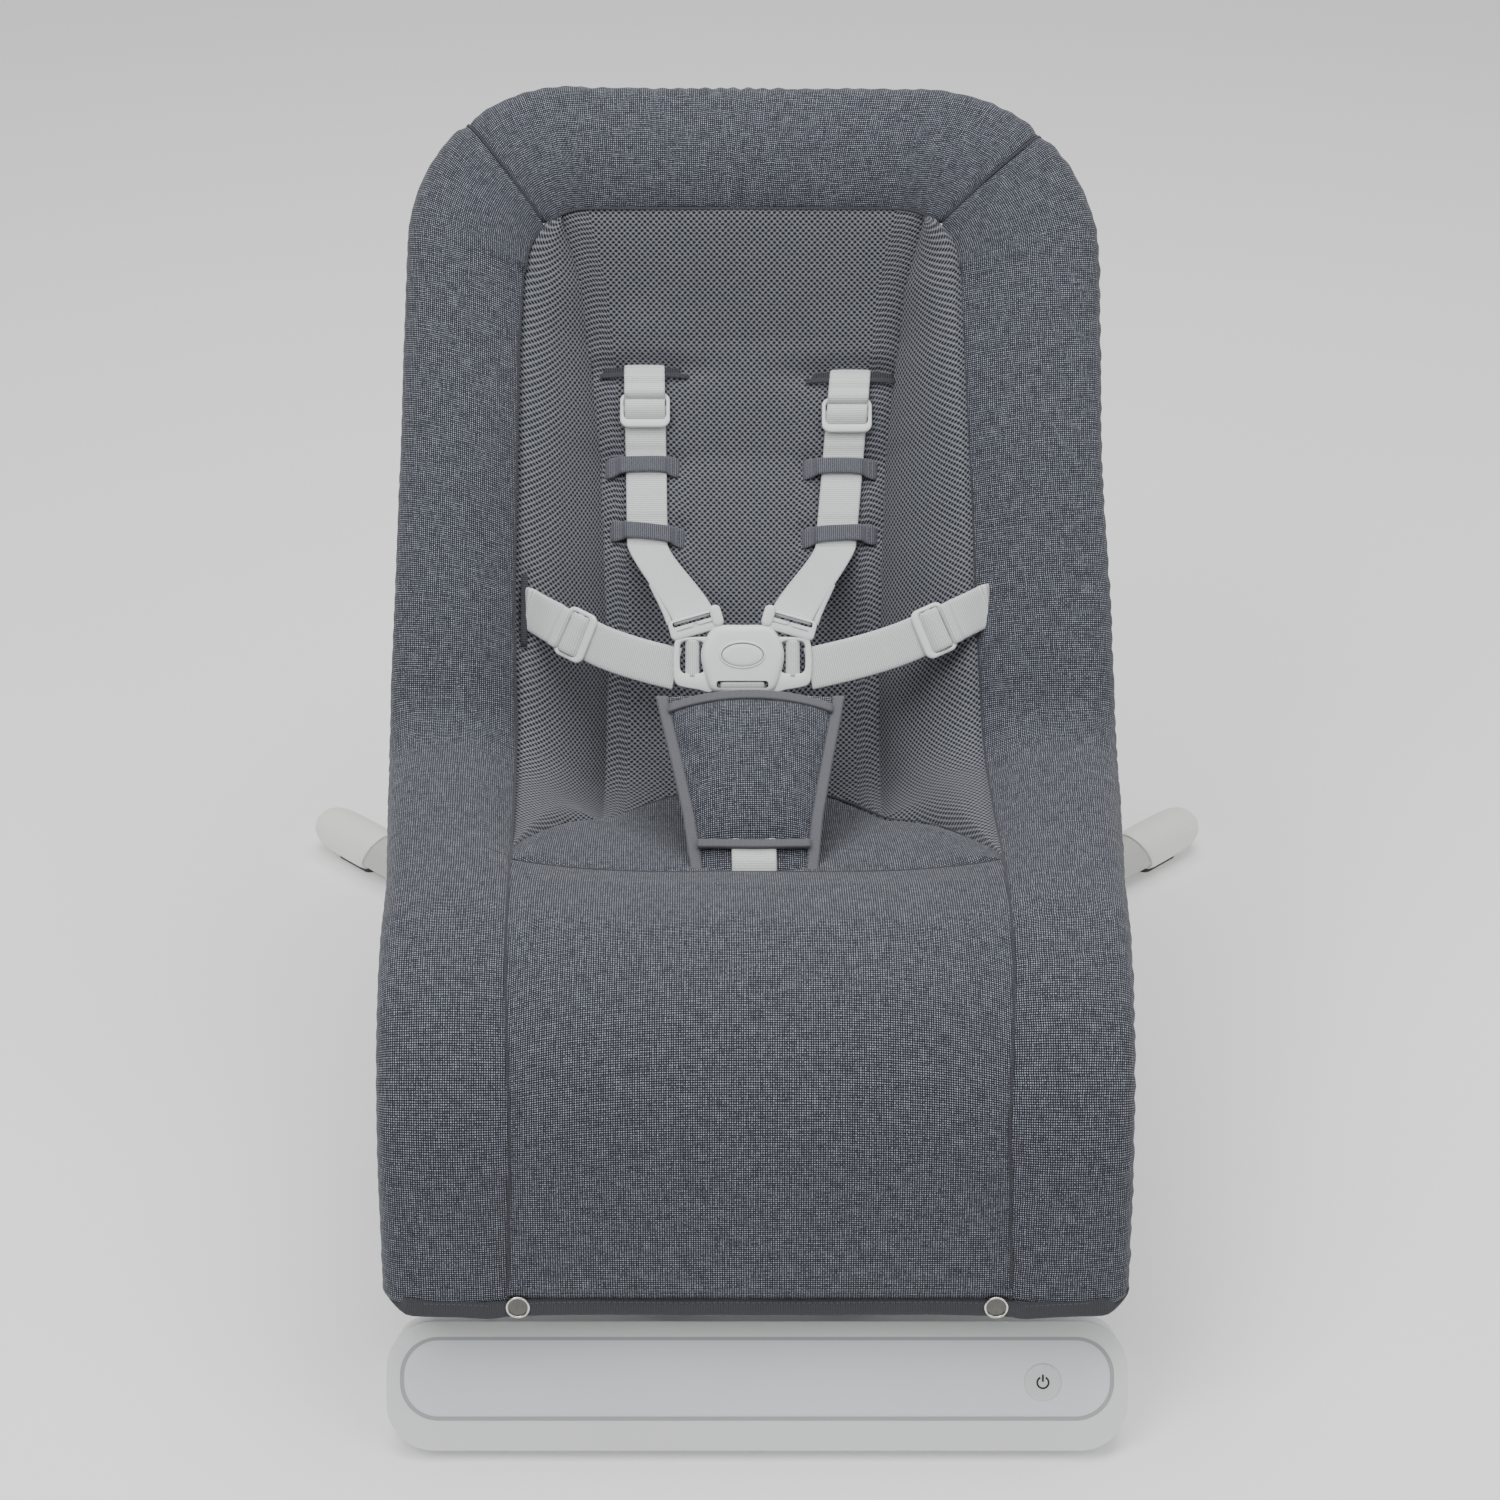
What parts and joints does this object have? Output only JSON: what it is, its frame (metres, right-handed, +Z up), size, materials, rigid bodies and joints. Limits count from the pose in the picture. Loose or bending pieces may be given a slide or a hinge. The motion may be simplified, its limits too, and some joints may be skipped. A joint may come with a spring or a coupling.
{
  "type": "baby swing",
  "caption": "Low electric baby swing: padded seat with harness and buckle sways sideways on a hub over a control housing, two arms and folding rear legs.",
  "frame": {"origin": "on the floor, under the middle of the overall box", "axes": "+Y from the control housing to the head end, +Z up, +X to the right of someone facing the seat"},
  "size_m": [0.61, 0.653, 0.582],
  "materials": {
    "housing_plastic": "satin light grey",
    "panel_plastic": "gloss light grey",
    "trim_plastic": "gloss",
    "button_plastic": "satin",
    "circuit_board": "lacquered",
    "dark_plastic": "matt",
    "cell_jacket": "printed sleeve, plain",
    "zinc_steel": "zinc plated",
    "rubber": "matt",
    "cable_jacket": "matt",
    "copper_coil": "enamelled copper wire",
    "hub_plastic": "fine texture",
    "base_tube": "powder coat",
    "cap_plastic": "fine texture",
    "frame_tube": "powder coat",
    "woven_fabric": "melange weave",
    "spacer_mesh": "three-dimensional spacer mesh",
    "edge_binding": "ribbed tape",
    "webbing": "woven tape",
    "harness_plastic": "satin",
    "snap_metal": "nickel plated"
  },
  "bodies": {
    "base": {"housing_front_shell": "housing_plastic", "housing_rear_shell": "housing_plastic", "control_panel": "panel_plastic", "panel_trim_ring": "trim_plastic", "control_board": "circuit_board", "speaker": "dark_plastic", "battery_cells": "cell_jacket", "battery_contacts": "zinc_steel", "power_inlet": "dark_plastic", "housing_foot_pads": "rubber", "case_screws": "zinc_steel", "base_arm_right": "base_tube", "base_arm_left": "base_tube", "hub_lower_shell": "hub_plastic", "hub_upper_shell": "hub_plastic", "swing_bearings": "zinc_steel", "drive_coil": "copper_coil", "travel_bumpers": "rubber", "drive_cable": "cable_jacket", "leg_hinge_pins": "zinc_steel"},
    "power_button": {"power_button": "button_plastic"},
    "battery_door": {"battery_door": "housing_plastic"},
    "leg_right": {"rear_leg_right": "base_tube", "foot_cap_right": "cap_plastic", "sole_pad_right": "rubber"},
    "leg_left": {"rear_leg_left": "base_tube", "foot_cap_left": "cap_plastic", "sole_pad_left": "rubber"},
    "carrier": {"swing_post": "zinc_steel", "post_nut": "zinc_steel", "magnet_arm": "hub_plastic", "drive_magnets": "zinc_steel", "cradle_saddle": "hub_plastic", "cradle_tube": "frame_tube", "cradle_ends": "hub_plastic", "recline_pins": "zinc_steel"},
    "seat": {"upper_frame_tube": "frame_tube", "lower_frame_tube": "frame_tube", "frame_joints": "hub_plastic", "rim_panel_top": "woven_fabric", "rim_panel_right": "woven_fabric", "rim_panel_left": "woven_fabric", "back_mesh_panel": "spacer_mesh", "bolster_right": "spacer_mesh", "bolster_left": "spacer_mesh", "seat_panel": "woven_fabric", "leg_panel": "woven_fabric", "hem_binding": "edge_binding", "hem_snaps": "snap_metal", "shoulder_straps": "webbing", "waist_straps": "webbing", "strap_adjusters": "harness_plastic", "strap_keepers": "edge_binding", "shoulder_connectors": "harness_plastic", "buckle_tongues": "harness_plastic", "buckle_body": "harness_plastic", "crotch_strap": "webbing", "crotch_pad": "woven_fabric"},
    "buckle_button": {"buckle_button": "harness_plastic"}
  },
  "joints": [
    {"name": "seat_swing", "type": "hinge", "parent": "base", "child": "carrier", "pos_m": [0, 0.1135, 0.1], "axis": [0, -0.1736, 0.9848], "range_deg": [-8.5, 8.5]},
    {"name": "seat_recline", "type": "hinge", "parent": "carrier", "child": "seat", "pos_m": [0, -0.0305, 0.217], "axis": [-1, 0, 0], "range_deg": [0, 12]},
    {"name": "power_button_press", "type": "slide", "parent": "base", "child": "power_button", "axis": [0, 0.866, -0.5], "range_m": [0, 0.0012], "stiffness_N_per_m": 800, "springref_m": -0.0005},
    {"name": "battery_door_lift", "type": "slide", "parent": "base", "child": "battery_door", "axis": [0, 0.724, 0.6898], "range_m": [0, 0.02]},
    {"name": "leg_right_fold", "type": "hinge", "parent": "base", "child": "leg_right", "pos_m": [0.092, 0.1195, 0.078], "axis": [0, 0, 1], "range_deg": [0, 45.9]},
    {"name": "leg_left_fold", "type": "hinge", "parent": "base", "child": "leg_left", "pos_m": [-0.092, 0.1195, 0.078], "axis": [0, 0, -1], "range_deg": [0, 45.9]},
    {"name": "buckle_button_press", "type": "slide", "parent": "seat", "child": "buckle_button", "axis": [0, 0.848, -0.5299], "range_m": [0, 0.0015], "stiffness_N_per_m": 900, "springref_m": -0.0005}
  ]
}
